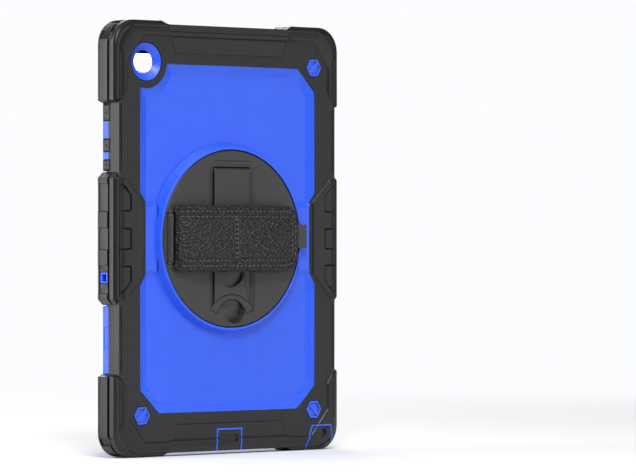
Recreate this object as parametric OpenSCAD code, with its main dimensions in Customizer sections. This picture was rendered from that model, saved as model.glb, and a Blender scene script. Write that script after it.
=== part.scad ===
// Rugged tablet case: rigid back shell and front frame in a silicone sleeve, with a swivel disc,
// a folding kickstand leg and a hand strap. The case stands upright on its lower corner bumpers.
// Frame: X to the right seen from behind, Y from the back of the case towards the screen, Z up.
// The origin is the middle of the bottom of the whole case. Heights above the back are called depths:
// a depth is measured along Y from the plane where the back panel meets the sleeve.

/* [Tablet] */
// Height of the tablet that the case holds
tablet_h = 257.1; // [256.5:0.1:257.6]
// Width of the tablet
tablet_w = 168.7; // [168.2:0.1:169.2]
// Thickness of the tablet
tablet_t = 6.9; // [6.5:0.1:7.1]

/* [Case] */
// Height over the corner bumpers
case_h = 282; // [281:0.5:283]
// Width over the corner bumpers
case_w = 192; // [191:0.5:193]
// Height of the sleeve between the bumpers
frame_h = 277.4; // [277:0.1:278]
// Width of the sleeve between the bumpers
frame_w = 183.2; // [183:0.1:183.6]
// Depth of the front face
front = 17; // [16.8:0.1:17.4]
// Thickness of the rigid walls
wall = 2; // [1.8:0.1:2]

/* [Back panel] */
// Half width of the recessed panel
panel_x = 74; // [73.5:0.1:74.5]
// Half height of the recessed panel
panel_z = 113; // [112.5:0.1:113.5]
// Depth of the panel's flat field
field = 2.1; // [1.8:0.1:2.2]
// Camera opening, distance left of the middle
camera_x = 69; // [68.5:0.1:69.5]
// Camera opening, height above the middle
camera_z = 114.1; // [113.8:0.1:114.4]

/* [Swivel and stand] */
// Radius of the swivel disc
disc_r = 58; // [57.8:0.1:58.1]
// How far the disc stands out behind the panel plane
disc_out = 3.6; // [3.5:0.1:3.8]
// Half width of the kickstand leg
leg_x = 14.8; // [14.6:0.1:14.8]
// Height of the leg's hinge axis above the middle
hinge_z = 44.6; // [44.4:0.1:44.8]
// Half width of the hand strap
strap_z = 21.7; // [21:0.1:22]
// How far the strap stands out behind the panel plane
strap_out = 14; // [13.5:0.1:14.5]

/* [Hidden] */
$fn = 64;
blue = [0.16, 0.32, 0.9];
black = [0.16, 0.16, 0.17];
steel = [0.7, 0.7, 0.72];
eps = 0.01;
gap = 0.3;                                  // between pieces that move past each other
mid_depth = (front - strap_out) / 2;        // depth of the middle of the whole object

floor_in = 3.9;                             // depth of the inner face of the shell's floor
back_in = 1.7;                              // depth where the sleeve's back meets the shell
cavity_w = tablet_w + 2 * gap;
cavity_h = tablet_h + 2 * gap;
cavity_back = 6.9;                          // depth of the tablet's back
cavity_front = cavity_back + tablet_t + 0.2;
shell_w = cavity_w + 2 * wall;
shell_h = cavity_h + 2 * wall;
wall_top = 13.6;                            // depth of the shell wall's free edge
side_split = 10.9;                          // depth where the sleeve ends and the front frame shows
window_x = 75.5;                            // half width of the screen window
window_z = 120;                             // half height of the screen window
face_x = 88.3;                              // half width of the frame's flat face
face_z = 135.3;                             // half height of the frame's flat face

ring_in = disc_r + 0.4;                     // swivel ring, inner radius
hub_hole = 50.3;                            // hole in the floor inside the swivel ring
shelf = 1;                                  // depth of the shelf that the disc turns on
hinge_depth = -1.5;                         // depth of the leg's hinge axis
pin_r = 0.8;
bar_x = 51.3;                               // left strap bar, distance from the middle
bar_depth = -2.2;
bar_r = 1.3;
screw_ring_r = 43;

hex_flats = 11.3;
hex_spots = [[72.9, 113.9, 45], [-73, -114.1, 45], [72.9, -113.9, -45]];
strip_start = 43.4;                         // the frame's bare side wall, from the grip to the bumper
strip_end = 87;
key_spots = [[81.2, 10.4], [60, 8], [47.4, 6.4]];   // height and length of the power and volume keys
key_low = 9.2;                              // depth of the keys' back edge
key_high = 16.2;                            // depth of the keys' front edge
stem_y = 11;                                // depth of the keys' stems
bead = 1.2;                                 // width of the rigid edge round a port flap
usb_x = 9.4;                                // half width of the charging-port flap
lug_z = -25.2;
lug_y = 10.5;

// ---- helpers -------------------------------------------------------------------------------------

// Moves geometry from the middle of the back panel to the origin at the bottom of the case.
module place() { translate([0, -mid_depth, case_h / 2]) children(); }

// Extrudes an outline drawn in X and Z from one depth to another.
module slab(from, to) { translate([0, to, 0]) rotate([90, 0, 0]) linear_extrude(to - from) children(); }

// Turns a profile of radius and depth about the disc's axis.
module turned() { rotate([-90, 0, 0]) rotate_extrude() children(); }

// A round post along Y at a place in the back panel.
module post(x, z, r, from, to) {
    translate([x, from, z]) rotate([-90, 0, 0]) cylinder(r = r, h = to - from);
}

// A block given by its low and high corners.
module block(low, high) { translate(low) cube(high - low); }

module rounded(w, h, r) {
    square([w - 2 * r, h], center = true);
    square([w, h - 2 * r], center = true);
    for (sx = [-1, 1], sz = [-1, 1]) translate([sx * (w / 2 - r), sz * (h / 2 - r)]) circle(r);
}

module pill(w, straight) {
    square([w, straight], center = true);
    for (s = [-1, 1]) translate([0, s * straight / 2]) circle(w / 2);
}

module both_sides() { children(); mirror([1, 0, 0]) children(); }
module both_ends() { children(); mirror([0, 0, 1]) children(); }

function arc(x, z, r, from, to, n) =
    [for (i = [0:n]) let (a = from + (to - from) * i / n) [x + r * cos(a), z + r * sin(a)]];

// A solid through a row of outlines with as many points, each at its depth. The triangles of each end meet
// at the hub, or without one they run in a strip between the two halves of the outline.
module loft(outlines, depths, hub = []) {
    n = len(outlines[0]);
    last = len(outlines) - 1;
    hub_at = n * (last + 1);
    points = concat([for (k = [0:last]) each [for (p = outlines[k]) [p[0], depths[k], p[1]]]],
                    hub == [] ? [] : [for (d = [depths[0], depths[last]]) [hub[0], d, hub[1]]]);
    sides = [for (k = [0:last - 1], i = [0:n - 1]) let (a = k * n + i, b = k * n + (i + 1) % n)
        each [[a, b, a + n], [b, b + n, a + n]]];
    strip = [for (i = [0:n / 2 - 2]) each [[i, i + 1, n - 1 - i], [i + 1, n - 2 - i, n - 1 - i]]];
    caps = hub == []
        ? [for (t = strip) each [[t[2], t[1], t[0]], [for (i = t) last * n + i]]]
        : [for (i = [0:n - 1]) let (j = (i + 1) % n)
            each [[i, hub_at, j], [last * n + j, hub_at + 1, last * n + i]]];
    polyhedron(points, concat(sides, caps));
}

// ---- outlines ------------------------------------------------------------------------------------

// Edge of the back panel, drawn in by a given amount, with a round notch for the camera.
function panel_outline(in) = let (x = panel_x - in, z = panel_z - in, c = 15.2 - 0.5 * in,
                                  s = 4.2 - 0.3 * in, r = 17.1 + in, cx = -camera_x, cz = camera_z) concat(
    [[x - s, -23 + in], [x - s, 24 - in], [x, 30 - in], [x, z - c], [x - c, z]],
    arc(cx, cz, r, asin((z - cz) / r), -90 - asin((x - camera_x) / r), 8),
    [[-x, 30 - in], [s - x, 24 - in], [s - x, in - 23], [-x, in - 30], [-x, c - z], [c - x, -z],
     [x - c, -z], [x, c - z], [x, in - 30]]);

// One corner bumper seen from behind: its inner edge from the end to the side, then its outer edge back.
// The side and the end are drawn in by two amounts, the inner edge by another.
function bumper_back(side, end, inner) = let (x = case_w / 2 - side, z = case_h / 2 - end, r = 16) concat(
    [[50 + inner, 131 + inner], [60 + inner, 131 + inner]],
    [for (i = [0:8]) [70 + inner + 14.5 * i / 8, 131 + inner - (17 + inner) * i / 8]],
    [[84.5 + inner, 97 + inner], [89.2, 90 + inner], [x, 88.8 + inner], [x, 98 + inner]],
    arc(x - r, z - r, r, 0, 90, 8),
    [[55 + inner, z], [50 + inner, min(z, frame_h / 2)]]);

// One corner bumper round the side of the case, drawn in by one amount at the side and another at the end.
function bumper_side(side, end) = let (x = case_w / 2 - side, z = case_h / 2 - end, r = 16) concat(
    [[70, 128], [84, 110], [84, strip_end + gap], [frame_w / 2, strip_end + gap], [x, 88.8 + end]],
    arc(x - r, z - r, r, 0, 90, 8),
    [[55 + end, z], [50, frame_h / 2], [50, 128]]);

// One side grip seen from behind.
function grip_back(side, inner) = let (x = case_w / 2 - side) [
    [71 + inner, inner / 2 - 24], [87.5, inner - 40.3], [x, inner - 39],
    [x, 39 - inner], [87.5, 40.3 - inner], [71 + inner, 24 - inner / 2]];

// Outer edge of the front frame: the flat face, and the bare stretches between bumpers and grips.
module frame_outline(in) {
    difference() {
        square([2 * (face_x - in), 2 * (face_z - in)], center = true);
        for (sx = [-1, 1], sz = [-1, 1]) translate([sx * (face_x - in), sz * (face_z - in)])
            rotate(45) square(14, center = true);
    }
    for (s = [-1, 1]) {
        translate([0, s * (frame_h / 2 - 20.5 - in)]) square([2 * (47 - in), 40], center = true);
        for (t = [-1, 1]) translate([s * (frame_w / 2 - 20.5 - in), t * (strip_start + strip_end) / 2])
            square([40, strip_end - strip_start - 2 * in], center = true);
    }
}

module hexagon(flats) { circle(flats / sqrt(3), $fn = 6); }

// The back leg of a flap's opening and the bottom leg of it, grown by a given amount.
module usb_opening(grow) {
    block([-usb_x - grow, -3, -145], [usb_x + grow, side_split - 0.6 + grow, -131.2 + grow]);
    block([-usb_x - grow, -3, -145], [usb_x + grow, back_in - 0.3 + grow, -125.6 + grow]);
}

module jack_opening(grow) {
    slab(-3, back_in - 0.3 + grow) polygon([[73 - grow, -125.6 + grow], [86.2 + grow, -125.6 + grow],
        [89 + grow, -134], [89 + grow, -145], [67.6 - grow, -145], [67.6 - grow, -138]]);
    slab(back_in - 0.4, side_split - 0.6 + grow) polygon([[70.6 - grow, -131.2 + grow],
        [87 + grow, -131.2 + grow], [89 + grow, -134], [89 + grow, -145], [67.6 - grow, -145],
        [67.6 - grow, -138]]);
}

// ---- rigid shell and frame -----------------------------------------------------------------------

module swivel_ring() {
    turned() polygon([[hub_hole, shelf], [ring_in, shelf], [ring_in, -disc_out], [ring_in + 1.6, -disc_out],
                      [ring_in + 3.8, field], [ring_in + 3.8, floor_in], [hub_hole, floor_in]]);
}

module shell_ribs() {
    rib = 1.2;
    top = cavity_back - 0.2;
    turned() translate([disc_r + 1, floor_in - 0.5]) square([rib, top - floor_in + 0.5]);
    for (z = [-100, -80, 80, 100]) block([-79, floor_in - 0.5, z - rib / 2], [79, top, z + rib / 2]);
    both_sides() for (x = [25, 50]) both_ends()
        block([x - rib / 2, floor_in - 0.5, 72], [x + rib / 2, top, 123]);
    both_sides() both_ends() block([70 - rib / 2, floor_in - 0.5, 0], [70 + rib / 2, top, 96]);
}

module ledge() {
    slab(floor_in - 0.5, cavity_back - 0.2) difference() {
        rounded(cavity_w + 1, cavity_h + 1, 7);
        rounded(156, 245, 5);
    }
}

// Edge of the rigid shell that shows round each port flap, level with the sleeve.
module port_beads() {
    difference() {
        intersection() {
            sleeve_body();
            flap_openings(gap + bead);
        }
        flap_openings(gap);
    }
}

module back_shell() {
    color(blue) place() {
        difference() {
            union() {
                difference() {
                    union() {
                        slab(back_in, wall_top) rounded(shell_w, shell_h, 9.5);
                        slab(0, back_in + eps) polygon(panel_outline(0));
                    }
                    slab(floor_in, front) rounded(cavity_w, cavity_h, 7.5);
                    loft([panel_outline(-0.1), panel_outline(6.5)], [-0.05, field], [0, 0]);
                }
                post(-camera_x, camera_z, 12.4, 0, floor_in);
                both_sides() translate([60, 0, 0]) rotate([90, 0, 90]) linear_extrude(panel_x - 4.2 - 60)
                    polygon([[0, -20.5], [0, 20.5], [floor_in - 1, 25.5], [floor_in - 1, -25.5]]);
                ledge();
                shell_ribs();
                swivel_ring();
                port_beads();
            }
            turned() translate([0, -6]) square([hub_hole, 20]);
            turned() translate([0, -6]) square([ring_in, 6 + shelf]);
            translate([-camera_x, -eps, camera_z]) rotate([-90, 0, 0])
                cylinder(r1 = 11.9, r2 = 7.5, h = 3.4);
            post(-camera_x, camera_z, 7.5, 0, 8);
            for (h = hex_spots) post(h[0], h[1], 2.45, 0, 8);
            for (k = key_spots) key_stem(k[0], k[1], -90, 0.25);
            block([-6, 6.6, -140], [6, 12, -120]);
            translate([74, 9.5, -140]) cylinder(r = 2.9, h = 20);
            both_sides() for (z = [-60, -40, 40, 60]) block([80, 12, z - 4], [90, 15, z + 4]);
        }
    }
}

module front_frame() {
    color(blue) place() difference() {
        union() {
            slab(cavity_front + 0.1, front) frame_outline(0);
            slab(side_split, cavity_front + 0.2) difference() {
                frame_outline(0);
                rounded(shell_w + 2 * gap, shell_h + 2 * gap, 10);
            }
            both_sides() for (z = [-60, -40, 40, 60])
                block([84.9, 12.6, z - 3.4], [87.2, cavity_front + 0.2, z + 3.4]);
        }
        slab(10, 20) rounded(2 * window_x, 2 * window_z, 4);
        loft([window_corners(0), window_corners(2)], [front - 2, front + eps], [0, 0]);
        // slot and shallow hollow for the tablet's front camera
        slab(10, 20) translate([-80.3, 3.5]) pill(5, 14);
        slab(front - 0.8, 20) translate([-80.8, 3.5]) pill(8.6, 17);
        // hole in the lower bar, with a round hollow
        post(-17.7, -124.5, 2, 8, 20);
        post(-17.7, -124.5, 5.5, front - 0.8, 20);
        // the keys' pads and stems stand in slots that open backwards
        for (k = key_spots) {
            key_pocket(k[0], k[1]);
            block([-90, 5, k[0] - k[1] / 2 + 1.2], [-86, stem_y + 1.6, k[0] + k[1] / 2 - 1.2]);
        }
        // shallow hollow in the side wall below the grip
        block([-95, 12.2, -71.5], [-frame_w / 2 + 0.9, 15.6, -57]);
    }
}

function window_corners(out) = let (x = window_x + out, z = window_z + out, r = 4 + out / 2) concat(
    arc(x - r, z - r, r, 0, 90, 4), arc(r - x, z - r, r, 90, 180, 4),
    arc(r - x, r - z, r, 180, 270, 4), arc(x - r, r - z, r, 270, 360, 4));

module screen_film() {
    color([0.75, 0.85, 0.95, 0.35]) place() difference() {
        slab(cavity_front - 0.25, cavity_front + 0.05) rounded(cavity_w - 1.6, cavity_h - 1.6, 6);
        slab(10, 20) translate([-80.3, 3.5]) square([6, 20], center = true);
        both_sides() for (z = [-60, -40, 40, 60])
            block([83.6, 10, z - 4], [90, 20, z + 4]);
    }
}

module hex_caps() {
    color(blue) place() for (h = hex_spots) translate([h[0], 0, h[1]]) {
        difference() {
            slab(-0.9, back_in) hexagon(hex_flats - 0.1);
            slab(-2, 0) hexagon(hex_flats - 2.4);
        }
        intersection() {
            slab(-0.8, 0.5) hexagon(hex_flats - 1.2);
            rotate([0, -h[2], 0]) block([-6, -0.8, -1.2], [6, 0.5, 1.2]);
        }
        rotate([-90, 0, 0]) cylinder(r = 2.4, h = floor_in);
    }
}

module carry_lugs() {
    color(blue) place() both_sides() difference() {
        block([89.5, lug_y - 3.7, lug_z - 3.5], [95.4, lug_y + 3.7, lug_z + 3.5]);
        block([91.2, lug_y - 2.2, lug_z - 2.3], [97, lug_y + 2.2, lug_z + 2.3]);
    }
}

// ---- keys ----------------------------------------------------------------------------------------

// A key's stem, from a place at the side inward, grown by a given amount.
module key_stem(z, length, x, grow) {
    block([x, stem_y - 1.2 - grow, z - length / 2 + 1.5 - grow],
          [-84.9 + 10 * grow, stem_y + 1.2 + grow, z + length / 2 - 1.5 + grow]);
}

// The space that a key's pad moves in.
module key_pocket(z, length) {
    block([-95, key_low - gap, z - length / 2 - gap], [-87.9, key_high + gap, z + length / 2 + gap]);
}

module key(spot) {
    z = spot[0];
    length = spot[1];
    color(black) place() {
        difference() {
            union() {
                block([-91.9, key_low + 0.6, z - length / 2 + 0.6],
                      [-91, key_high - 0.6, z + length / 2 - 0.6]);
                block([-91.5, key_low, z - length / 2], [-88.9, key_high, z + length / 2]);
            }
            translate([-93, (key_low + key_high) / 2, z]) rotate([0, 90, 0]) cylinder(r = 0.5, h = 1.5);
        }
        key_stem(z, length, -89, 0);
    }
}

module power_key() { key(key_spots[0]); }
module volume_up_key() { key(key_spots[1]); }
module volume_down_key() { key(key_spots[2]); }

// ---- sleeve --------------------------------------------------------------------------------------

// Rings of a rounded back edge: depth, then how far the side, the end and the inner edge are drawn in.
roll = [[-1.5, 6.6, 8, 1.1], [-0.8, 4.4, 4.2, 0.4], [0.3, 2.6, 1.3, 0], [1.4, 1.7, 0.4, 0]];
// Bands round the side: two depths, then how far the side and the end are drawn in.
bands = [[1.1, 5.6, 1, 0], [5.6, 6.3, 2, 0.8], [6.3, 14.6, 0, 0], [14.6, 15.3, 1.4, 0.8],
         [15.3, front, 0.6, 0]];

module bumper() {
    loft([for (r = roll) bumper_back(r[1], r[2], r[3])], [for (r = roll) r[0]]);
    for (band = bands) slab(band[0] - eps, band[1]) polygon(bumper_side(band[2], band[3]));
}

// Notches either side of the rib on a bumper's corner.
module corner_notches() {
    for (a = [22, 68]) translate([case_w / 2 - 16, 0, case_h / 2 - 16]) rotate([0, -a, 0])
        block([14.4, 5, -2.6], [20, 15.6, 2.6]);
}

module grip() {
    loft([for (r = roll) grip_back(r[1], r[3])], [for (r = roll) r[0]]);
    for (band = bands)
        slab(band[0] - eps, band[1])
            polygon([[86, -42.8], [frame_w / 2 - 0.2, -42.8], [case_w / 2 - band[2], -39],
                     [case_w / 2 - band[2], 39], [frame_w / 2 - 0.2, 42.8], [86, 42.8]]);
}

// Edge of one hollow in a grip, between two heights and drawn in by a given amount. An end hollow has its
// far corner cut off.
function hollow_outline(low, high, in) =
    let (low_cut = low < -30 ? 7 : 0.8, high_cut = high > 30 ? 7 : 0.8) [
    [82 + in, low + low_cut], [82 + low_cut, low + in], [91.5 - in, low + in], [91.5 - in, high - in],
    [82 + high_cut, high - in], [82 + in, high - high_cut]];

// Hollows in a side grip, on the back and on the side rail, between its ribs. A fine groove runs round each.
module grip_hollows() {
    for (w = [[17.4, 35.2], [-7.2, 6.9], [-35.2, -17.4]]) {
        slab(-3, -1) polygon(hollow_outline(w[0], w[1], 0));
        slab(-3, -0.3) difference() {
            polygon(hollow_outline(w[0], w[1], 0));
            polygon(hollow_outline(w[0], w[1], 0.7));
        }
        block([95.3, 5, w[0]], [97, 18, w[1]]);
    }
}

// Soft valley down each side of the back, through the bumpers and grips.
module side_valley() { translate([89.8, -3, -119]) cylinder(r = 2.3, h = 238); }

module flap_openings(grow) {
    usb_opening(grow);
    jack_opening(grow);
}

// The sleeve before the flaps are parted from it.
module sleeve_body() {
    difference() {
        union() {
            slab(-0.4, side_split - gap) rounded(frame_w, frame_h, 17);
            both_ends() translate([-52, 0, 0]) rotate([90, 0, 90]) linear_extrude(104)
                polygon([[-0.9, 131.2], [2, 131.2], [2, frame_h / 2], [0.8, frame_h / 2], [-0.9, 133.6]]);
            both_ends() slab(-0.9, 0) polygon([[-49, 130], [49, 130], [45, 120.5], [-45, 120.5]]);
            both_sides() both_ends() bumper();
            both_sides() grip();
        }
        both_sides() both_ends() corner_notches();
        both_sides() grip_hollows();
        both_sides() side_valley();
        slab(back_in, 18) rounded(shell_w, shell_h, 9.5);
        slab(-5, 3) polygon(panel_outline(0));
        slab(side_split - gap, 20) frame_outline(-gap - 0.1);
        post(-camera_x, camera_z, 12.6, -5, 5);
        for (h = hex_spots) translate([h[0], 0, h[1]]) slab(-5, 5) hexagon(hex_flats + 0.4);
        both_sides() both_ends() block([89.2, -2, 43.6], [90, 0.3, 86.6]);
    }
}

module silicone_sleeve() {
    color(black) place() difference() {
        sleeve_body();
        flap_openings(gap + bead);
        for (k = key_spots) {
            key_pocket(k[0], k[1]);
            key_stem(k[0], k[1], -95, gap);
        }
        both_sides() block([89.4, lug_y - 3.8, lug_z - 3.6], [99, lug_y + 3.8, lug_z + 3.6]);
    }
}

module usb_flap() {
    color(black) place() difference() {
        intersection() { sleeve_body(); usb_opening(0); }
        block([-6.9, -3, -133], [6.9, 0.2, -128.7]);
    }
}

module jack_flap() {
    color(black) place() difference() {
        intersection() {
            jack_opening(0);
            union() {
                mirror([0, 0, 1]) bumper();
                slab(-0.4, side_split - gap) rounded(frame_w, frame_h, 17);
            }
        }
        slab(back_in, 18) rounded(shell_w, shell_h, 9.5);
        block([60, -10, -150], [100, 20, 0.5 - case_h / 2]);
        post(80.8, -129.8, 2.6, -5, 0.2);
    }
}

// ---- swivel --------------------------------------------------------------------------------------

// The leg's outline: a bar that ends in a hooped lifting band.
module leg_outline(grow) {
    difference() {
        union() {
            translate([-leg_x - grow, -44]) square([2 * (leg_x + grow), hinge_z + 44]);
            intersection() {
                translate([0, -57.6]) circle(21.3 + grow);
                polygon([[-18.2 - grow, -46.5 - grow], [-12.1, -48.9 - grow], [0, -54], [12.1, -48.9 - grow],
                         [18.2 + grow, -46.5 - grow], [18.2 + grow, -30], [-18.2 - grow, -30]]);
            }
        }
        translate([0, -52.4]) circle(12.6 - grow);
    }
}

module below_band() { translate([-30, -80]) square([60, 80 - 36.6]); }

module swivel_disc() {
    color(black) place() difference() {
        union() {
            turned() polygon([[0, -disc_out], [disc_r - 0.9, -disc_out], [disc_r, -disc_out + 0.6],
                              [disc_r, shelf - 0.4], [0, shelf - 0.4]]);
            turned() square([hub_hole - 0.4, floor_in + gap]);
        }
        turned() translate([0, 2.4]) square([34, 4]);
        // sloping edge round the leg, the leg's own pocket, and the shallow pocket for its band
        loft([[[-18.2, -46], [18.2, -46], [18.2, 46.1], [14.2, 50.1], [-14.2, 50.1], [-18.2, 46.1]],
              [[-15.2, -42], [15.2, -42], [15.2, 44.6], [13, 46.8], [-13, 46.8], [-15.2, 44.6]]],
             [-disc_out - eps, -2.3], [0, 0]);
        slab(-disc_out - 1, 0.8) difference() {
            translate([-15.2, -37.5]) square([30.4, 37.5 + 46.8]);
            translate([0, -57.6]) circle(21);
        }
        slab(-disc_out - 1, -1) leg_outline(gap);
        // fine line round the sloping edge
        slab(-disc_out - 1, -disc_out + 0.5) difference() {
            polygon([[-18.8, -44], [18.8, -44], [18.8, 46.4], [14.4, 50.8], [-14.4, 50.8], [-18.8, 46.4]]);
            polygon([[-18.2, -46], [18.2, -46], [18.2, 46.1], [14.2, 50.1], [-14.2, 50.1], [-18.2, 46.1]]);
        }
        // finger scoop below the band, deepest at its lower right
        translate([3, -8, -47]) rotate([-76, 0, 0]) rotate([0, -14, 0]) cylinder(r = 9.4, h = 6.1);
        // slots for the two strap bars
        both_sides() block([bar_x - 4, -8, -16.7], [bar_x + 3.5, shelf - 0.6, 16.7]);
        both_sides() translate([bar_x, bar_depth, -19]) cylinder(r = bar_r + 0.01, h = 38);
        translate([-16.5, hinge_depth, hinge_z]) rotate([0, 90, 0]) cylinder(r = pin_r + 0.01, h = 33);
        for (a = [30:60:330]) rotate([0, a, 0]) post(screw_ring_r, 0, 1, 2, 8);
    }
}

module swivel_washer() {
    color("white") place() turned() translate([hub_hole + gap, shelf - 0.3])
        square([ring_in - hub_hole - 0.8, 0.3]);
}

module retainer_plate() {
    color(black) place() difference() {
        turned() translate([34, floor_in + gap]) square([20, 1.3]);
        for (a = [30:60:330]) rotate([0, a, 0]) post(screw_ring_r, 0, 1, 2, 8);
        for (a = [45:90:315]) rotate([0, a, 0]) post(54.6, 0, 1.2, 2, 8);
        for (a = [0:60:300]) rotate([0, a, 0]) block([37, 3, -6], [50, 8, 6]);
    }
}

module retainer_screws() {
    color(steel) place() for (a = [30:60:330]) rotate([0, a, 0]) {
        post(screw_ring_r, 0, 0.95, 2.1, 5.6);
        difference() {
            post(screw_ring_r, 0, 2, floor_in + gap + 1.3, 6.4);
            translate([screw_ring_r, 6.1, 0]) for (t = [0, 90]) rotate([0, t, 0])
                block([-1.2, 0, -0.25], [1.2, 1, 0.25]);
        }
    }
}

module detent_spring() {
    color(steel) place() {
        slab(floor_in, 5.1) intersection() {
            difference() {
                circle(55.2);
                circle(54.7);
            }
            polygon([[0, 0], [-16, 60], [16, 60]]);
        }
        for (s = [-1, 1]) post(s * 14.5, 53.7, 0.9, floor_in, 6.2);
    }
}

// ---- kickstand -----------------------------------------------------------------------------------

module kickstand_leg() {
    color(black) place() difference() {
        union() {
            slab(-disc_out + 0.3, 0.1) difference() { leg_outline(0); below_band(); }
            slab(-disc_out + 0.3, -1.3) leg_outline(0);
            translate([-leg_x, hinge_depth, hinge_z]) rotate([0, 90, 0]) cylinder(r = 1.8, h = 2 * leg_x);
        }
        translate([-leg_x - 1, hinge_depth, hinge_z]) rotate([0, 90, 0]) cylinder(r = pin_r + 0.06, h = 40);
        // thumb hollow, deepest at its lower right
        translate([0, -8, -21.5]) rotate([-90, 0, 0]) rotate([7, -9, 0]) cylinder(r = 10.8, h = 4.9);
        // fine line between the leg and its lifting band
        slab(-disc_out - 1, -disc_out + 0.8) intersection() {
            translate([0, -57.6]) difference() {
                circle(21.3);
                circle(20.8);
            }
            translate([0.6 - leg_x, -50]) square([2 * leg_x - 1.2, 20]);
        }
        // lightening slots on the inner side
        for (x = [-8, 0, 8]) block([x - 2.6, -1.2, 5], [x + 2.6, 2, 36]);
    }
}

module kickstand_pin() {
    color(steel) place() translate([-16.4, hinge_depth, hinge_z]) rotate([0, 90, 0])
        cylinder(r = pin_r, h = 32.8);
}

module leg_foot_pad() {
    color([0.1, 0.1, 0.1]) place() block([-10, 0.1, -33], [10, 0.5, -29]);
}

// ---- hand strap ----------------------------------------------------------------------------------

module strap_bar(side) {
    color(steel) place() translate([side * bar_x, bar_depth, -18.9]) cylinder(r = bar_r, h = 37.8);
}

module strap_bar_left() { strap_bar(-1); }
module strap_bar_right() { strap_bar(1); }

// Side view of the strap between two heights above the disc, from its left end to its right end.
function strap_line(lift) = [[-49.4, -4.4 - lift], [-40, -8.6 - lift], [-26, -9.6 - lift], [0, -10 - lift],
                             [26, -9.6 - lift], [40, -8 - lift], [49.8, -4.7 - lift]];
function flipped(points) = [for (i = [len(points) - 1:-1:0]) points[i]];

module strap_profile(from, to, half) {
    translate([0, 0, -half]) linear_extrude(2 * half)
        polygon(concat(strap_line(from), flipped(strap_line(to))));
}

module hand_strap() {
    color(black) place() intersection() {
        strap_profile(1.3, strap_out - 10, strap_z);
        slab(-20, 0) {
            translate([-49.4, -strap_z]) square([89.4, 2 * strap_z]);
            translate([39, -strap_z + 10]) square([10.8, 2 * strap_z - 20]);
            for (s = [-1, 1]) translate([39.8, s * (strap_z - 10)]) circle(10);
        }
    }
}

module strap_lining() {
    color([0.22, 0.22, 0.23]) place() {
        difference() {
            translate([-bar_x, bar_depth, -16]) cylinder(r = 2.3, h = 32);
            translate([-bar_x, bar_depth, -17]) cylinder(r = bar_r + 0.1, h = 34);
        }
        translate([0, 0, -16]) linear_extrude(32)
            polygon([[-bar_x, bar_depth - 1.5], [-bar_x, bar_depth - 2.3], [-49.4, -5.7], [-47, -6.8],
                     [-47, -5.4], [-49, bar_depth - 1.2]]);
        intersection() {
            strap_profile(0, 1.3, strap_z - 3);
            block([-47.6, -20, -30], [46.5, 0, 30]);
        }
    }
}

module strap_tongue() {
    color([0.2, 0.2, 0.21]) place() {
        block([45, -5.9, -6.4], [62.4, -4.2, 9.4]);
    }
}

back_shell();
front_frame();
screen_film();
silicone_sleeve();
hex_caps();
carry_lugs();
power_key();
volume_up_key();
volume_down_key();
usb_flap();
jack_flap();
swivel_disc();
swivel_washer();
retainer_plate();
retainer_screws();
detent_spring();
kickstand_leg();
kickstand_pin();
leg_foot_pad();
strap_bar_left();
strap_bar_right();
hand_strap();
strap_lining();
strap_tongue();
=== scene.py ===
"""Looks of a rugged tablet case: blue shell, black silicone sleeve, swivel disc with its leg, hand strap."""

import math

import bmesh
import bpy
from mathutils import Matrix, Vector


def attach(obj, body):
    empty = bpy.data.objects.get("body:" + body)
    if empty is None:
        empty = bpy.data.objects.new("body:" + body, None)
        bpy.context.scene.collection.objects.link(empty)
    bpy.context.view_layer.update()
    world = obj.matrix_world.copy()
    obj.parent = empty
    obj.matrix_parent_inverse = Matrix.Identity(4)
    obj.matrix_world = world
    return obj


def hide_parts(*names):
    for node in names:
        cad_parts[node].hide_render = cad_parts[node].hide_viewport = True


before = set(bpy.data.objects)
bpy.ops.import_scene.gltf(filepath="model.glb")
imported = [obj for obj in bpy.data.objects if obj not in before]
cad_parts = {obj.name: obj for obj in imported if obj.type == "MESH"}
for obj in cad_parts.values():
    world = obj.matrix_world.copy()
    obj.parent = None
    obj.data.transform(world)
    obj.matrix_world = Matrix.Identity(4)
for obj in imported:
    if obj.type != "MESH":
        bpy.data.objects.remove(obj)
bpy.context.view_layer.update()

MM = 0.001
PANEL_DEPTH = -1.5          # the back panel's plane, in mm from the row's middle plane
HALF_HEIGHT = 141.0         # from the floor to the middle of the case, in mm


def at(x, y, z):
    """A place in metres from millimetres right of, in front of and above the middle of the back panel."""
    return Vector((x, y + PANEL_DEPTH, z + HALF_HEIGHT)) * MM


# ---- camera and light ------------------------------------------------------------------------------

VIEW_TURN = math.radians(40.8)           # how far round from straight behind the camera stands
CAMERA_PLACE = (-1.6684, -2.0238, 0.1414)
LENS_LENGTH = 226.3
SENSOR_WIDTH = 36.0
LIGHT_AIM = Vector((0, 0, 0.14))         # about the middle of the case

camera = bpy.data.objects.new("camera", bpy.data.cameras.new("camera"))
bpy.context.scene.collection.objects.link(camera)
camera.data.sensor_width = SENSOR_WIDTH
camera.data.sensor_fit = "HORIZONTAL"
camera.data.lens = LENS_LENGTH
camera.data.clip_end = 50.0
camera.location = CAMERA_PLACE
camera.rotation_euler = (math.radians(90), 0, -VIEW_TURN)
bpy.context.scene.camera = camera


def area_light(name, turn, height, distance, size, power):
    """A soft light at a turn round the case, aimed at its middle. Turn 0 is straight behind the case."""
    data = bpy.data.lights.new(name, "AREA")
    data.shape = "RECTANGLE"
    data.size, data.size_y = size
    data.energy = power
    light = bpy.data.objects.new(name, data)
    bpy.context.scene.collection.objects.link(light)
    a = math.radians(turn)
    light.location = (math.sin(a) * distance, -math.cos(a) * distance, height)
    aim = LIGHT_AIM - light.location
    light.rotation_euler = aim.to_track_quat("-Z", "Y").to_euler()


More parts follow.
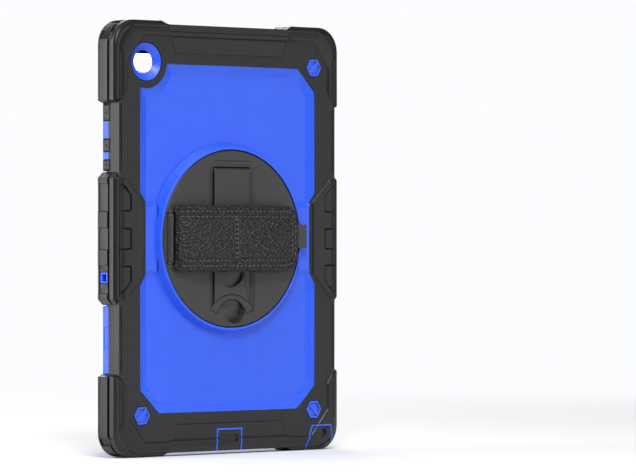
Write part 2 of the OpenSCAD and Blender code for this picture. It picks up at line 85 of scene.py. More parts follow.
area_light("main_light", turn=-34, height=1.5, distance=1.6, size=(0.7, 0.7), power=34)
area_light("side_light", turn=-122, height=0.3, distance=1.2, size=(0.8, 1.0), power=13)
area_light("sheen_card", turn=42, height=0.2, distance=1.6, size=(0.9, 1.3), power=4.6)
area_light("top_light", turn=-10, height=1.7, distance=0.3, size=(0.9, 0.5), power=12)
area_light("front_light", turn=160, height=0.8, distance=1.7, size=(1.4, 1.0), power=14)

world = bpy.data.worlds.new("studio")
world.use_nodes = True
studio = world.node_tree
backdrop = studio.nodes["Background"]
backdrop.inputs["Color"].default_value = (0.97, 0.98, 1.0, 1)
seen = studio.nodes.new("ShaderNodeLightPath")
level = studio.nodes.new("ShaderNodeMapRange")
level.inputs["To Min"].default_value = 0.12       # light that the room gives
level.inputs["To Max"].default_value = 1.0        # how bright its wall looks
studio.links.new(seen.outputs["Is Camera Ray"], level.inputs["Value"])
studio.links.new(level.outputs["Result"], backdrop.inputs["Strength"])
bpy.context.scene.world = world
bpy.context.scene.view_settings.view_transform = "Standard"
bpy.context.scene.view_settings.look = "None"


# ---- shader parts -----------------------------------------------------------------------------------

def new_group(name, inputs, outputs):
    """An empty shader node group. inputs are (name, kind, value), outputs are (name, kind)."""
    group = bpy.data.node_groups.new(name, "ShaderNodeTree")
    for label, kind, value in inputs:
        socket = group.interface.new_socket(label, in_out="INPUT", socket_type="NodeSocket" + kind)
        socket.default_value = value
    for label, kind in outputs:
        group.interface.new_socket(label, in_out="OUTPUT", socket_type="NodeSocket" + kind)
    start = group.nodes.new("NodeGroupInput")
    end = group.nodes.new("NodeGroupOutput")
    return group, start, end


class Wiring:
    """Short calls that add nodes to one tree and link them."""

    def __init__(self, tree):
        self.tree = tree

    def node(self, kind, sources=(), **settings):
        node = self.tree.nodes.new("ShaderNode" + kind)
        for key, value in settings.items():
            setattr(node, key, value)
        for socket, source in dict(sources).items():
            self.feed(source, node.inputs[socket])
        return node

    def feed(self, source, socket):
        if isinstance(source, bpy.types.NodeSocket):
            self.tree.links.new(source, socket)
        else:
            socket.default_value = source

    def math(self, operation, a, b=0.0):
        node = self.node("Math", {0: a, 1: b}, operation=operation)
        return node.outputs[0]

    def mix(self, factor, a, b):
        node = self.node("Mix", data_type="RGBA")
        self.feed(factor, node.inputs[0])
        self.feed(a, node.inputs[6])
        self.feed(b, node.inputs[7])
        return node.outputs[2]

    def blend(self, factor, a, b):
        node = self.node("Mix", data_type="FLOAT")
        self.feed(factor, node.inputs[0])
        self.feed(a, node.inputs[2])
        self.feed(b, node.inputs[3])
        return node.outputs[0]

    def step(self, value, low, high, to_low=0.0, to_high=1.0):
        """A smooth change from to_low to to_high while the value goes from low to high."""
        node = self.node("MapRange", {"Value": value, "From Min": low, "From Max": high,
                                      "To Min": to_low, "To Max": to_high}, interpolation_type="SMOOTHSTEP")
        return node.outputs["Result"]

    def noise(self, where, scale, detail=2.0, rough=0.5):
        node = self.node("TexNoise", {"Vector": where, "Scale": scale, "Detail": detail, "Roughness": rough})
        return node.outputs["Fac"]


def moulded_grain_group():
    """Fine spark-eroded grain of moulded plastic, with slow drift in tone."""
    group, start, end = new_group("moulded_grain", [("Size", "Float", 0.5), ("Drift", "Float", 60.0)],
                                  [("Height", "Float"), ("Tone", "Float")])
    w = Wiring(group)
    where = w.node("TexCoord").outputs["Object"]
    per_metre = w.math("DIVIDE", 1000.0, start.outputs["Size"])
    fine = w.noise(where, per_metre, 2.0, 0.6)
    coarse = w.noise(where, w.math("MULTIPLY", per_metre, 0.35), 1.0, 0.5)
    height = w.math("ADD", w.math("MULTIPLY", fine, 0.7), w.math("MULTIPLY", coarse, 0.3))
    w.feed(height, end.inputs["Height"])
    w.feed(w.noise(where, start.outputs["Drift"], 3.0, 0.6), end.inputs["Tone"])
    return group


def wear_and_painted_light_group():
    """Masks of the proud edges, lightened as rubbed wear and painted highlight, and of the grooves and
    corners, darkened as painted shade.
    """
    group, start, end = new_group("wear_and_painted_light", [("Edge Reach", "Float", 0.7), ("Groove Reach", "Float", 2.2),
                                               ("Breakup", "Float", 180.0)],
                                  [("Mask", "Float"), ("Painted Shade", "Float")])
    w = Wiring(group)
    where = w.node("TexCoord").outputs["Object"]
    patchy = w.noise(where, start.outputs["Breakup"], 3.0, 0.6)
    inward = w.node("AmbientOcclusion", {"Distance": w.math("MULTIPLY", start.outputs["Edge Reach"], MM)},
                    inside=True, samples=6)
    outward = w.node("AmbientOcclusion", {"Distance": w.math("MULTIPLY", start.outputs["Groove Reach"], MM)},
                     samples=8)
    # Proud edges, found by inside occlusion: their lightening is partly rubbed wear, partly painted
    # highlight.
    proud = w.step(inward.outputs["AO"], 0.85, 0.45)
    w.feed(w.math("MULTIPLY", proud, w.step(patchy, 0.25, 0.6, 0.4, 1.0)), end.inputs["Mask"])
    # Grooves and corners, found by occlusion: their darkening is painted shade.
    w.feed(w.step(outward.outputs["AO"], 0.92, 0.35), end.inputs["Painted Shade"])
    return group


def dot_grid_group():
    """Small raised dots in a square grid on surfaces that face backwards at one depth."""
    settings = [("Pitch", "Float", 1.2), ("Depth", "Float", -1.9), ("Reach", "Float", 0.25)]
    group, start, end = new_group("dot_grid", settings, [("Height", "Float"), ("Mask", "Float")])
    w = Wiring(group)
    xyz = w.node("SeparateXYZ", {0: w.node("TexCoord").outputs["Object"]})
    per_metre = w.math("DIVIDE", 1000.0 * math.tau, start.outputs["Pitch"])
    ripple = [w.math("COSINE", w.math("MULTIPLY", xyz.outputs[i], per_metre)) for i in (0, 2)]
    dots = w.math("MULTIPLY", w.math("ADD", ripple[0], ripple[1]), 0.5)
    depth = w.math("MULTIPLY", xyz.outputs[1], 1000.0)
    off = w.math("ABSOLUTE", w.math("SUBTRACT", depth, start.outputs["Depth"]))
    flat = w.math("LESS_THAN", off, start.outputs["Reach"])
    w.feed(w.math("MULTIPLY", w.step(dots, -0.1, 0.75), flat), end.inputs["Height"])
    w.feed(flat, end.inputs["Mask"])
    return group


LEATHER_SWIRL = 0.0007                   # how far the pebbles' places wander, in metres
LEATHER_SQUAT = (0.75, 1.0, 1.5)         # pebbles are wider along the strap than across it


def leather_grain_group():
    """Pebbled leather: rounded cells with small ones among them, and creases between."""
    group, start, end = new_group("leather_grain", [("Cell", "Float", 0.9)],
                                  [("Height", "Float"), ("Painted Shade", "Float"), ("Tone", "Float")])
    w = Wiring(group)
    where = w.node("TexCoord").outputs["Object"]
    per_metre = w.math("DIVIDE", 1000.0, start.outputs["Cell"])
    bent = w.node("VectorMath", operation="ADD")
    swirl = w.node("TexNoise", {"Vector": where, "Scale": 900.0, "Detail": 2.0})
    shift = w.node("VectorMath", {0: swirl.outputs["Color"]}, operation="SCALE")
    shift.inputs["Scale"].default_value = LEATHER_SWIRL
    w.feed(where, bent.inputs[0])
    w.feed(shift.outputs[0], bent.inputs[1])
    squat = w.node("VectorMath", {0: bent.outputs[0]}, operation="MULTIPLY")
    squat.inputs[1].default_value = LEATHER_SQUAT
    cells = w.node("TexVoronoi", {"Vector": squat.outputs[0], "Scale": per_metre, "Smoothness": 0.25},
                   feature="SMOOTH_F1")
    small = w.node("TexVoronoi", {"Vector": bent.outputs[0], "Scale": w.math("MULTIPLY", per_metre, 2.3)},
                   feature="DISTANCE_TO_EDGE")
    crown = w.step(cells.outputs["Distance"], 0.12, 0.7, 1.0, 0.0)
    fine = w.step(small.outputs["Distance"], 0.0, 0.3)
    height = w.math("ADD", w.math("MULTIPLY", crown, 0.85), w.math("MULTIPLY", fine, 0.15))
    w.feed(height, end.inputs["Height"])
    # The mask of the creases between the pebbles, used for painted shade.
    w.feed(w.math("SUBTRACT", 1.0, crown), end.inputs["Painted Shade"])
    w.feed(w.noise(where, 45.0, 3.0, 0.6), end.inputs["Tone"])
    return group


def weave_group():
    """Plain weave: threads over and under each other along X and Z."""
    group, start, end = new_group("weave", [("Thread", "Float", 0.7)],
                                  [("Height", "Float"), ("Tone", "Float")])
    w = Wiring(group)
    where = w.node("TexCoord").outputs["Object"]
    xyz = w.node("SeparateXYZ", {0: where})
    per_metre = w.math("DIVIDE", 1000.0 * math.pi, start.outputs["Thread"])
    along = w.math("SINE", w.math("MULTIPLY", xyz.outputs[0], per_metre))
    across = w.math("SINE", w.math("MULTIPLY", xyz.outputs[2], per_metre))
    warp = w.math("ABSOLUTE", along)
    weft = w.math("ABSOLUTE", across)
    pick = w.step(w.math("MULTIPLY", along, across), -0.15, 0.15)
    w.feed(w.blend(pick, warp, weft), end.inputs["Height"])
    w.feed(w.noise(where, 300.0, 3.0, 0.7), end.inputs["Tone"])
    return group


MOULDED_GRAIN = moulded_grain_group()
WEAR_AND_PAINTED_LIGHT = wear_and_painted_light_group()
DOT_GRID = dot_grid_group()
LEATHER_GRAIN = leather_grain_group()
WEAVE = weave_group()


def finish_named(name):
    """A new material with its wiring and its shader."""
    material = bpy.data.materials.new(name)
    material.use_nodes = True
    shader = material.node_tree.nodes["Principled BSDF"]
    return material, Wiring(material.node_tree), shader


def placed(w, group, **values):
    """Puts a node group in a material, with its own values, and gives its outputs."""
    node = w.tree.nodes.new("ShaderNodeGroup")
    node.node_tree = group
    for label, value in values.items():
        w.feed(value, node.inputs[label])
    return node.outputs


def bumped(w, shader, height, distance):
    """Feeds a height to the shader's normal. The distance is in metres."""
    bump = w.node("Bump", {"Height": height, "Strength": 1.0, "Distance": distance})
    w.feed(bump.outputs["Normal"], shader.inputs["Normal"])


def moulded(name, deep, pale, edge, rough, grain_size, grain_depth, groove=2.2):
    """Moulded plastic with fine grain, drifting tone, paler edges that are rubbed wear and painted
    highlight, and painted shade in grooves and corners. Sizes are in mm.
    """
    material, w, shader = finish_named(name)
    grain = placed(w, MOULDED_GRAIN, Size=grain_size)
    rub_and_painted_light = placed(w, WEAR_AND_PAINTED_LIGHT, **{"Groove Reach": groove})
    colour = w.mix(w.step(grain["Tone"], 0.35, 0.65), deep, pale)
    # Paler edges: partly rubbed wear, partly painted highlight.
    colour = w.mix(w.math("MULTIPLY", rub_and_painted_light["Mask"], 0.55), colour, edge)
    # Painted shade: grooves and corners go nearly black.
    colour = w.mix(w.math("MULTIPLY", rub_and_painted_light["Painted Shade"], 0.85), colour, [v * 0.12 for v in deep[:3]] + [1])
    w.feed(colour, shader.inputs["Base Color"])
    w.feed(w.step(grain["Height"], 0.3, 0.7, rough - 0.05, rough + 0.05), shader.inputs["Roughness"])
    bumped(w, shader, grain["Height"], grain_depth * MM)
    return material


def silicone(name, dotted):
    """Black silicone: satin, with edges lightened as fine dust and painted highlight, painted shade in
    creases, and dotted on the flat of the sleeve with a painted highlight on each dot.
    """
    material, w, shader = finish_named(name)
    grain = placed(w, MOULDED_GRAIN, Size=0.35, Drift=40.0)
    rub_and_painted_light = placed(w, WEAR_AND_PAINTED_LIGHT)
    colour = w.mix(w.step(grain["Tone"], 0.3, 0.7), (0.008, 0.008, 0.0085, 1), (0.012, 0.012, 0.0125, 1))
    height = w.math("MULTIPLY", grain["Height"], 0.2)
    rough = w.step(grain["Height"], 0.3, 0.7, 0.30, 0.38)
    if dotted:
        dots = placed(w, DOT_GRID)
        # Painted highlight: the raised tops of the dots are paler than the silicone between them.
        flat = w.mix(dots["Height"], (0.010, 0.010, 0.0105, 1), (0.045, 0.045, 0.047, 1))
        colour = w.mix(dots["Mask"], colour, flat)
        height = w.math("ADD", height, w.math("MULTIPLY", dots["Height"], 1.2))
        rough = w.math("ADD", rough, w.math("MULTIPLY", dots["Mask"], 0.18))
    # Lighter edges: fine dust and painted highlight.
    colour = w.mix(w.math("MULTIPLY", rub_and_painted_light["Mask"], 0.25), colour, (0.06, 0.06, 0.062, 1))
    # Painted shade: creases and corners go nearly black.
    colour = w.mix(w.math("MULTIPLY", rub_and_painted_light["Painted Shade"], 0.9), colour, (0.001, 0.001, 0.001, 1))
    w.feed(colour, shader.inputs["Base Color"])
    w.feed(rough, shader.inputs["Roughness"])
    shader.inputs["Specular IOR Level"].default_value = 0.38
    bumped(w, shader, height, 0.12 * MM)
    return material


def leather(name):
    """Glossy pebbles, matt in the creases between them and darkened there by painted shade, and paler on
    edges as rubbed wear and painted highlight.
    """
    material, w, shader = finish_named(name)
    grain = placed(w, LEATHER_GRAIN, Cell=2.3)
    rub_and_painted_light = placed(w, WEAR_AND_PAINTED_LIGHT)
    colour = w.mix(w.step(grain["Tone"], 0.35, 0.65), (0.010, 0.010, 0.0105, 1), (0.018, 0.018, 0.0185, 1))
    # Painted shade: the creases between the pebbles are darker.
    colour = w.mix(w.math("MULTIPLY", grain["Painted Shade"], 0.8), colour, (0.003, 0.003, 0.003, 1))
    # Paler edges: rubbed wear and painted highlight.
    colour = w.mix(w.math("MULTIPLY", rub_and_painted_light["Mask"], 0.35), colour, (0.07, 0.07, 0.07, 1))
    w.feed(colour, shader.inputs["Base Color"])
    w.feed(w.step(grain["Height"], 0.1, 0.9, 0.42, 0.22), shader.inputs["Roughness"])
    bumped(w, shader, grain["Height"], 1.5 * MM)
    return material


def woven(name, deep, pale, thread):
    """Woven threads of one width in mm, with a faint sheen and a painted highlight on the raised threads."""
    material, w, shader = finish_named(name)
    weave = placed(w, WEAVE, Thread=thread)
    # Painted highlight: the raised threads are paler than the hollows between them.
    colour = w.mix(weave["Height"], deep, pale)
    colour = w.mix(w.step(weave["Tone"], 0.3, 0.75, 0.0, 0.4), colour, deep)
    w.feed(colour, shader.inputs["Base Color"])
    w.feed(w.step(weave["Tone"], 0.2, 0.8, 0.7, 0.9), shader.inputs["Roughness"])
    shader.inputs["Sheen Weight"].default_value = 0.25
    bumped(w, shader, weave["Height"], 0.2 * MM)
    return material


def metal(name, colour, rough):
    """Plain metal with a slowly drifting tone."""
    material, w, shader = finish_named(name)
    grain = placed(w, MOULDED_GRAIN, Size=0.25, Drift=90.0)
    dull = [v * 0.85 for v in colour[:3]] + [1]
    w.feed(w.mix(w.step(grain["Tone"], 0.3, 0.7), dull, colour), shader.inputs["Base Color"])
    w.feed(w.step(grain["Height"], 0.2, 0.8, rough - 0.08, rough + 0.1), shader.inputs["Roughness"])
    shader.inputs["Metallic"].default_value = 1.0
    bumped(w, shader, grain["Height"], 0.02 * MM)
    return material


def clear_film(name):
    """Clear plastic film, glossy and faintly uneven."""
    material, w, shader = finish_named(name)
    grain = placed(w, MOULDED_GRAIN, Size=6.0, Drift=25.0)
    w.feed(w.mix(grain["Tone"], (0.93, 0.95, 0.97, 1), (0.97, 0.98, 0.99, 1)), shader.inputs["Base Color"])
    w.feed(w.step(grain["Tone"], 0.3, 0.7, 0.03, 0.07), shader.inputs["Roughness"])
    shader.inputs["Transmission Weight"].default_value = 1.0
    shader.inputs["IOR"].default_value = 1.45
    bumped(w, shader, grain["Height"], 0.01 * MM)
    return material


# edge is the colour of the paler edges, rubbed wear and painted highlight; groove is how far the painted
# shade reaches.
BLUE_SHELL = moulded("blue_shell", deep=(0.020, 0.100, 0.80, 1), pale=(0.023, 0.106, 0.83, 1),
                     edge=(0.09, 0.22, 0.95, 1), rough=0.38, grain_size=0.45, grain_depth=0.02)
BLACK_PLASTIC = moulded("black_plastic", deep=(0.030, 0.030, 0.031, 1), pale=(0.034, 0.034, 0.035, 1),
                        edge=(0.10, 0.10, 0.105, 1), rough=0.45, grain_size=0.5, grain_depth=0.03,
                        groove=4.5)
SLEEVE_SILICONE = silicone("sleeve_silicone", dotted=True)
PLAIN_SILICONE = silicone("plain_silicone", dotted=False)
STRAP_LEATHER = leather("strap_leather")
THREAD = woven("strap_thread", deep=(0.035, 0.035, 0.036, 1), pale=(0.14, 0.14, 0.143, 1), thread=0.35)
WEBBING = woven("strap_webbing", deep=(0.010, 0.010, 0.011, 1), pale=(0.036, 0.036, 0.038, 1),
                thread=0.8)
STEEL = metal("plain_steel", colour=(0.6, 0.6, 0.62, 1), rough=0.3)
FILM = clear_film("screen_film_clear")

# The washer is black here because the thumb scoop in the disc breaks through to it.
NODE_FINISH = {
    "back_shell": BLUE_SHELL, "front_frame": BLUE_SHELL, "hex_caps": BLUE_SHELL, "carry_lugs": BLUE_SHELL,
    "silicone_sleeve": SLEEVE_SILICONE, "usb_flap": SLEEVE_SILICONE, "jack_flap": SLEEVE_SILICONE,
    "power_key": PLAIN_SILICONE, "volume_up_key": PLAIN_SILICONE, "volume_down_key": PLAIN_SILICONE,
    "leg_foot_pad": PLAIN_SILICONE, "swivel_disc": BLACK_PLASTIC, "retainer_plate": BLACK_PLASTIC,
    "kickstand_leg": BLACK_PLASTIC, "swivel_washer": BLACK_PLASTIC, "retainer_screws": STEEL,
    "detent_spring": STEEL, "kickstand_pin": STEEL, "strap_bar_left": STEEL, "strap_bar_right": STEEL,
    "screen_film": FILM,
}

# radius of the rounding on each node's moulded edges, in millimetres
EDGE_ROUND = {
    "back_shell": 0.3, "front_frame": 0.35, "hex_caps": 0.3, "carry_lugs": 0.4, "silicone_sleeve": 0.4,
    "usb_flap": 0.3, "jack_flap": 0.3, "power_key": 0.35, "volume_up_key": 0.35, "volume_down_key": 0.35,
    "swivel_disc": 0.35, "kickstand_leg": 0.35, "retainer_plate": 0.15,
}
FACET_TURN = math.radians(17.5)          # just over the turn between two facets of a curve
STEEP_TURN = math.radians(28)            # just over the turn between the wider facets of a rolled edge
ROLLED = ("silicone_sleeve", "jack_flap")
WELD_REACH = 0.002                       # split faces closer than this are joined, in millimetres


def softened(node, radius, turn):
    """Joins a node's split faces, rounds the edges that turn sharply and shades it smooth."""
    weld = node.modifiers.new("join_faces", "WELD")
    weld.merge_threshold = WELD_REACH * MM
    bevel = node.modifiers.new("edge_round", "BEVEL")
    bevel.width = radius * MM
    bevel.segments = 2
    bevel.limit_method = "ANGLE"
    bevel.angle_limit = turn
    bevel.use_clamp_overlap = False
    even = node.modifiers.new("even_shading", "WEIGHTED_NORMAL")
    even.weight = 60
    even.keep_sharp = False


for name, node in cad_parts.items():
    if name in NODE_FINISH:
        node.data.materials.clear()
        node.data.materials.append(NODE_FINISH[name])
    if name in EDGE_ROUND:
        softened(node, EDGE_ROUND[name], STEEP_TURN if name in ROLLED else FACET_TURN)


# ---- floor ------------------------------------------------------------------------------------------

FLOOR_RADIUS = 1.3


def pale_floor():
    """A round sheet of pale paper that fades out towards its edge."""
    mesh = bpy.data.meshes.new("floor")
    bm = bmesh.new()
    bmesh.ops.create_circle(bm, cap_ends=True, segments=96, radius=FLOOR_RADIUS)
    bm.to_mesh(mesh)
    bm.free()
    floor = bpy.data.objects.new("floor", mesh)
    bpy.context.scene.collection.objects.link(floor)
    material, w, shader = finish_named("floor_paper")
    grain = placed(w, MOULDED_GRAIN, Size=3.0, Drift=8.0)
    w.feed(w.mix(grain["Tone"], (0.84, 0.84, 0.84, 1), (0.88, 0.88, 0.88, 1)), shader.inputs["Base Color"])
    shader.inputs["Roughness"].default_value = 0.8
    middle = w.node("TexCoord").outputs["Object"]
    away = w.node("VectorMath", {0: middle}, operation="LENGTH")
    w.feed(w.step(away.outputs["Value"], 0.3, 1.2, 1.0, 0.0), shader.inputs["Alpha"])
    mesh.materials.append(material)


pale_floor()


# ---- hand strap -------------------------------------------------------------------------------------

# All sizes from here on are in millimetres.
# side view of the strap's underside, in X and depth, from its left end to its right end
STRAP_LINE = [(-49.4, -4.4), (-40, -8.6), (-26, -9.6), (0, -10), (26, -9.6), (41, -8), (53.6, -4.7)]
STRAP_LEFT = STRAP_LINE[0][0]
STRAP_RIGHT = STRAP_LINE[-1][0]
STRAP_HALF = 21.7                # half the leather's width
STRAP_CORNER = 12.5              # radius of the two corners at its right end
LEATHER_LIFT = 1.3               # the lining's thickness and a little room
LEATHER_THICK = 2.6
LEATHER_STATIONS = 150           # cross-sections along the leather
LEATHER_ACROSS = 44              # faces over the top of one cross-section
EVEN_SHARE = 0.8                 # share of the cross-sections that are evenly spaced
RIGHT_ROLL = 1.6                 # how far in from each end the leather reaches its full thickness
LEFT_ROLL = 1.2

STITCH_ROWS = (17.7, 14.2)       # distance of the two rows of stitching from the middle
STITCH_SINK = 0.75               # how deep the stitching pulls the leather down
ROW_START = -47.5                # where the rows begin at the left
ROW_STEP = 0.5                   # distance between the places on a row
SEAM_X = -4.4                    # the seam across the strap
SEAM_SINK = 0.9
SEAM_END = -13.4
STITCH_RADIUS = 0.5

BAR_X, BAR_DEPTH = -51.3, -2.2   # middle of the left bar
LOOP_OUTER, LOOP_INNER = 2.3, 1.4
LOOP_HALF = 16                   # half the width of the loop round the bar
LOOP_TURN = 15                   # degrees between its facets
LOOP_ACROSS = 12
LINING_HALF = 18.5
LINING_THICK = 1.25
LINING_LEFT, LINING_RIGHT, LINING_STEP = -46.9, 46.5, 1.5
TAIL_LEFT, TAIL_STEP, TAIL_PLACES = 45, 0.82, 22
TAIL_DEPTH = -4.3
TAIL_THICK = 1.5
TAIL_HALF = 7.8
TAIL_RAISE = 1.5                 # how far the tail is above the middle
BAND_ACROSS = 16


def mesh_piece(name, points, faces, material, body, smooth=True):
    """A new piece of the model from its places and faces, on a body and with a material slot."""
    mesh = bpy.data.meshes.new(name)
    mesh.from_pydata([tuple(p) for p in points], [], faces)
    mesh.validate()
    mesh.materials.append(material)
    bm = bmesh.new()
    bm.from_mesh(mesh)
    bmesh.ops.recalc_face_normals(bm, faces=bm.faces)
    bm.to_mesh(mesh)
    bm.free()
    mesh.polygons.foreach_set("use_smooth", [smooth] * len(mesh.polygons))
    piece = bpy.data.objects.new(name, mesh)
    bpy.context.scene.collection.objects.link(piece)
    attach(piece, body)
    return piece


def joined_rings(count, sides, first=0):
    """Faces between rings of places that follow each other, with a flat cap at each end."""
    faces = []
    for ring in range(count - 1):
        for k in range(sides):
            a, b = first + ring * sides + k, first + ring * sides + (k + 1) % sides
            faces.append((a, b, b + sides, a + sides))
    last = first + (count - 1) * sides
    faces.append(tuple(first + k for k in range(sides - 1, -1, -1)))
    faces.append(tuple(last + k for k in range(sides)))
    return faces


def strap_depth(x):
    """Depth of the strap's underside at a place along it, on a smooth curve through STRAP_LINE."""
    xs = [p[0] for p in STRAP_LINE]
    ys = [p[1] for p in STRAP_LINE]
    x = min(max(x, STRAP_LEFT), STRAP_RIGHT)
    k = max(i for i in range(len(xs) - 1) if xs[i] <= x)

    def slope(i):
        before, after = max(i - 1, 0), min(i + 1, len(xs) - 1)
        return (ys[after] - ys[before]) / (xs[after] - xs[before])

    span = xs[k + 1] - xs[k]
    t = (x - xs[k]) / span
    from_left = (2 * t ** 3 - 3 * t ** 2 + 1) * ys[k] + (t ** 3 - 2 * t ** 2 + t) * span * slope(k)
    from_right = (3 * t ** 2 - 2 * t ** 3) * ys[k + 1] + (t ** 3 - t ** 2) * span * slope(k + 1)
    return from_left + from_right


def strap_half(x):
    """Half the leather's width at a place along the strap: square at the left, rounded at the right."""
    into = max(0.0, x - (STRAP_RIGHT - STRAP_CORNER))
    return STRAP_HALF - STRAP_CORNER + math.sqrt(max(STRAP_CORNER ** 2 - into ** 2, 0.0))


def bump_at(value, centre, width):
    """A smooth hump, 1 at its centre and near 0 two widths away."""
    return math.exp(-((value - centre) / width) ** 2)


def inset_at(x, z):
    """How far a place is inside the leather's outline."""
    side = STRAP_HALF - abs(z)
    end = STRAP_RIGHT - x
    if side < STRAP_CORNER and end < STRAP_CORNER:
        return STRAP_CORNER - math.hypot(STRAP_CORNER - side, STRAP_CORNER - end)
    return min(side, end)


def pucker_at(x, z):
    """How the leather's edge rises and falls between its stitches, different at its two long edges."""
    quick = math.sin(x * 1.9 + 1.3 * math.sin(x * 0.37))
    slow = math.sin(x * 0.83 + 2 * z / abs(z or 1))
    return quick * 0.5 + slow * 0.5


def leather_top(x, z):
    """Thickness of the leather: crowned, pulled down along its stitching and puckered at its edges."""
    inset = inset_at(x, z)
    thick = LEATHER_THICK * (0.86 + 0.14 * math.cos(min(abs(z) / STRAP_HALF, 1) * math.pi / 2))
    for row in STITCH_ROWS:
        thick -= STITCH_SINK * bump_at(inset, STRAP_HALF - row, 0.8)
    thick += 0.5 * bump_at(inset, 1.9, 1.2) + 0.2 * bump_at(inset, 5.75, 1.0)
    if x < 35:
        thick -= SEAM_SINK * bump_at(x, SEAM_X, 0.75) * (1 if abs(z) < 20.5 else 0.6)
    thick += 0.3 * pucker_at(x, z) * bump_at(inset, 1.5, 2.8)
    return thick


def leather_ring(x):
    """One closed cross-section of the leather, over its top and back along its underside."""
    half = strap_half(x)
    base = strap_depth(x) - LEATHER_LIFT
    right_end = min(1.0, max(0.0, (STRAP_RIGHT - x) / RIGHT_ROLL)) ** 0.45
    left_end = min(1.0, max(0.0, (x - STRAP_LEFT) / LEFT_ROLL)) ** 0.5
    ring = []
    for j in range(LEATHER_ACROSS + 1):
        v = math.sin((j / LEATHER_ACROSS - 0.5) * math.pi)
        edge = max(1 - abs(v) ** 7, 0) ** 0.4
        ring.append((x, base - leather_top(x, half * v) * edge * right_end * left_end, half * v))
    for j in range(LEATHER_ACROSS - 1, 0, -1):
        v = math.sin((j / LEATHER_ACROSS - 0.5) * math.pi)
        ring.append((x, base + 0.02, half * v))
    return ring


def leather_piece():
    """The padded leather as a closed form, with its cross-sections closer together at the right end."""
    points = []
    for i in range(LEATHER_STATIONS + 1):
        t = i / LEATHER_STATIONS
        if t >= EVEN_SHARE:
            rest = 1 - EVEN_SHARE
            t = EVEN_SHARE + rest * math.sin((t - EVEN_SHARE) / rest * math.pi / 2)
        points.extend(at(*p) for p in leather_ring(STRAP_LEFT + (STRAP_RIGHT - STRAP_LEFT) * t))
    faces = joined_rings(LEATHER_STATIONS + 1, 2 * LEATHER_ACROSS)
    piece = mesh_piece("hand_strap_leather", points, faces, STRAP_LEATHER, "strap")
    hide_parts("hand_strap")


def strap_surface(x, z):
    return at(x, strap_depth(x) - LEATHER_LIFT - leather_top(x, z), z)


def add_stitch(points, faces, start, end):
    """Adds one stitch: a short rounded bar between two places on the leather."""
    along = (end - start).normalized()
    side = along.cross(Vector((0, -1, 0))).normalized()
    lift = side.cross(along)
    first = len(points)
    rings = [(0.0, 0.25), (0.12, 0.8), (0.5, 1.0), (0.88, 0.8), (1.0, 0.25)]
    sides = 6
    for t, swell in rings:
        centre = start.lerp(end, t)
        for k in range(sides):
            a = math.tau * k / sides
            out = side * math.cos(a) + lift * math.sin(a) * 0.7
            points.append(centre + out * STITCH_RADIUS * MM * swell)
    faces.extend(joined_rings(len(rings), sides, first))


def row_path(row):
    """Places along one row of stitching: along the top, round the right end and back along the bottom."""
    inset = STRAP_HALF - row
    right = STRAP_RIGHT - inset
    corner = STRAP_CORNER - inset
    turn_x, turn_z = right - corner, row - corner
    places = int((turn_x - ROW_START) / ROW_STEP) + 1
    path = [(ROW_START + ROW_STEP * k, row) for k in range(places)]
    for degrees in range(84, -1, -6):
        a = math.radians(degrees)
        path.append((turn_x + corner * math.cos(a), turn_z + corner * math.sin(a)))
    path += [(right, turn_z - ROW_STEP * k) for k in range(1, int(turn_z / ROW_STEP))]
    return path + [(x, -z) for x, z in reversed(path)]


def stitched(path, points, faces, pitch=3.4, length=2.4):
    """Lays stitches of one length along a path on the leather."""
    start = None
    here = Vector(path[0])
    for there in path[1:]:
        there = Vector(there)
        if start is None:
            start = here.copy()
        if (there - start).length >= length:
            add_stitch(points, faces, strap_surface(*start), strap_surface(*there))
            start = None
            here = there + (there - here).normalized() * (pitch - length)
            continue
        here = there


def stitch_piece():
    """All the thread that shows: two rows round the leather and two across it beside the seam."""
    points, faces = [], []
    for row in STITCH_ROWS:
        stitched(row_path(row), points, faces)
    for beside in (-0.9, 0.9):
        across = [(SEAM_X + beside, SEAM_END + ROW_STEP * k) for k in range(54)]
        stitched(across, points, faces, pitch=3.0, length=2.0)
    mesh_piece("strap_stitching", points, faces, THREAD, "strap")


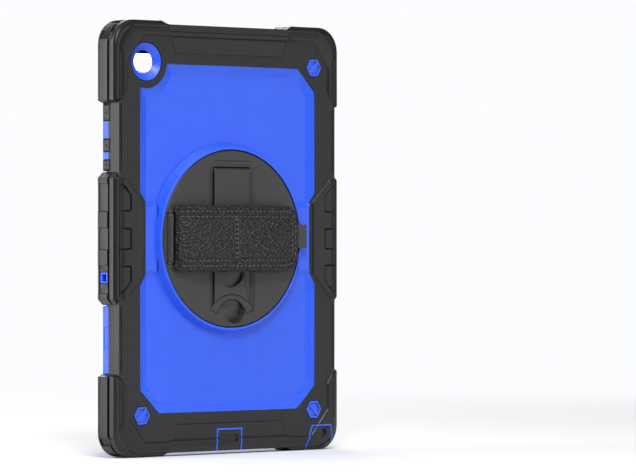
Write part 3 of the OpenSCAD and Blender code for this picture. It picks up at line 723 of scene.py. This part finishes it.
def band(name, outline, half):
    """A woven band from its side view, a closed run of X and depth, and half its width."""
    points = []
    for j in range(BAND_ACROSS + 1):
        z = half * (2 * j / BAND_ACROSS - 1)
        points.extend(at(x, y, z) for x, y in outline)
    faces = joined_rings(BAND_ACROSS + 1, len(outline))
    return mesh_piece(name, points, faces, WEBBING, "strap", smooth=False)


def lining_piece():
    """The webbing under the leather."""
    places = math.ceil((LINING_RIGHT - LINING_LEFT) / LINING_STEP)
    under = [(x, strap_depth(x)) for x in [LINING_RIGHT - LINING_STEP * k for k in range(places)]]
    over = [(x, y - LINING_THICK) for x, y in reversed(under)]
    strap = band("strap_lining_web", under + over, LINING_HALF)
    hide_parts("strap_lining")


def loop_piece():
    """The lining's loop round the left bar: a short tube."""
    turns = [math.radians(a) for a in range(0, 360, LOOP_TURN)]
    points, faces = [], []
    for j in range(LOOP_ACROSS + 1):
        z = LOOP_HALF * (2 * j / LOOP_ACROSS - 1)
        for radius in (LOOP_OUTER, LOOP_INNER):
            for a in turns:
                points.append(at(BAR_X + radius * math.cos(a), BAR_DEPTH + radius * math.sin(a), z))
    ring = len(turns)
    n = 2 * ring
    for j in range(LOOP_ACROSS):
        for i in range(ring):
            a, b = j * n + i, j * n + (i + 1) % ring
            faces.append((a, b, b + n, a + n))
            c, d = a + ring, b + ring
            faces.append((c, c + n, d + n, d))
    for j in (0, LOOP_ACROSS):
        for i in range(ring):
            a, b = j * n + i, j * n + (i + 1) % ring
            faces.append((a, a + ring, b + ring, b) if j == 0 else (a, b, b + ring, a + ring))
    mesh_piece("strap_bar_loop", points, faces, WEBBING, "strap")


def tail_piece():
    """The woven tail that comes out past the strap's right end."""
    xs = [TAIL_LEFT + TAIL_STEP * k for k in range(TAIL_PLACES)]
    under = [(x, TAIL_DEPTH - 0.5 * bump_at(x, 50, 5)) for x in reversed(xs)]
    over = [(x, y - TAIL_THICK) for x, y in reversed(under)]
    piece = band("strap_tail", under + over, TAIL_HALF)
    for v in piece.data.vertices:
        v.co.z += TAIL_RAISE * MM
    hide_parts("strap_tongue")


leather_piece()
stitch_piece()
lining_piece()
loop_piece()
tail_piece()
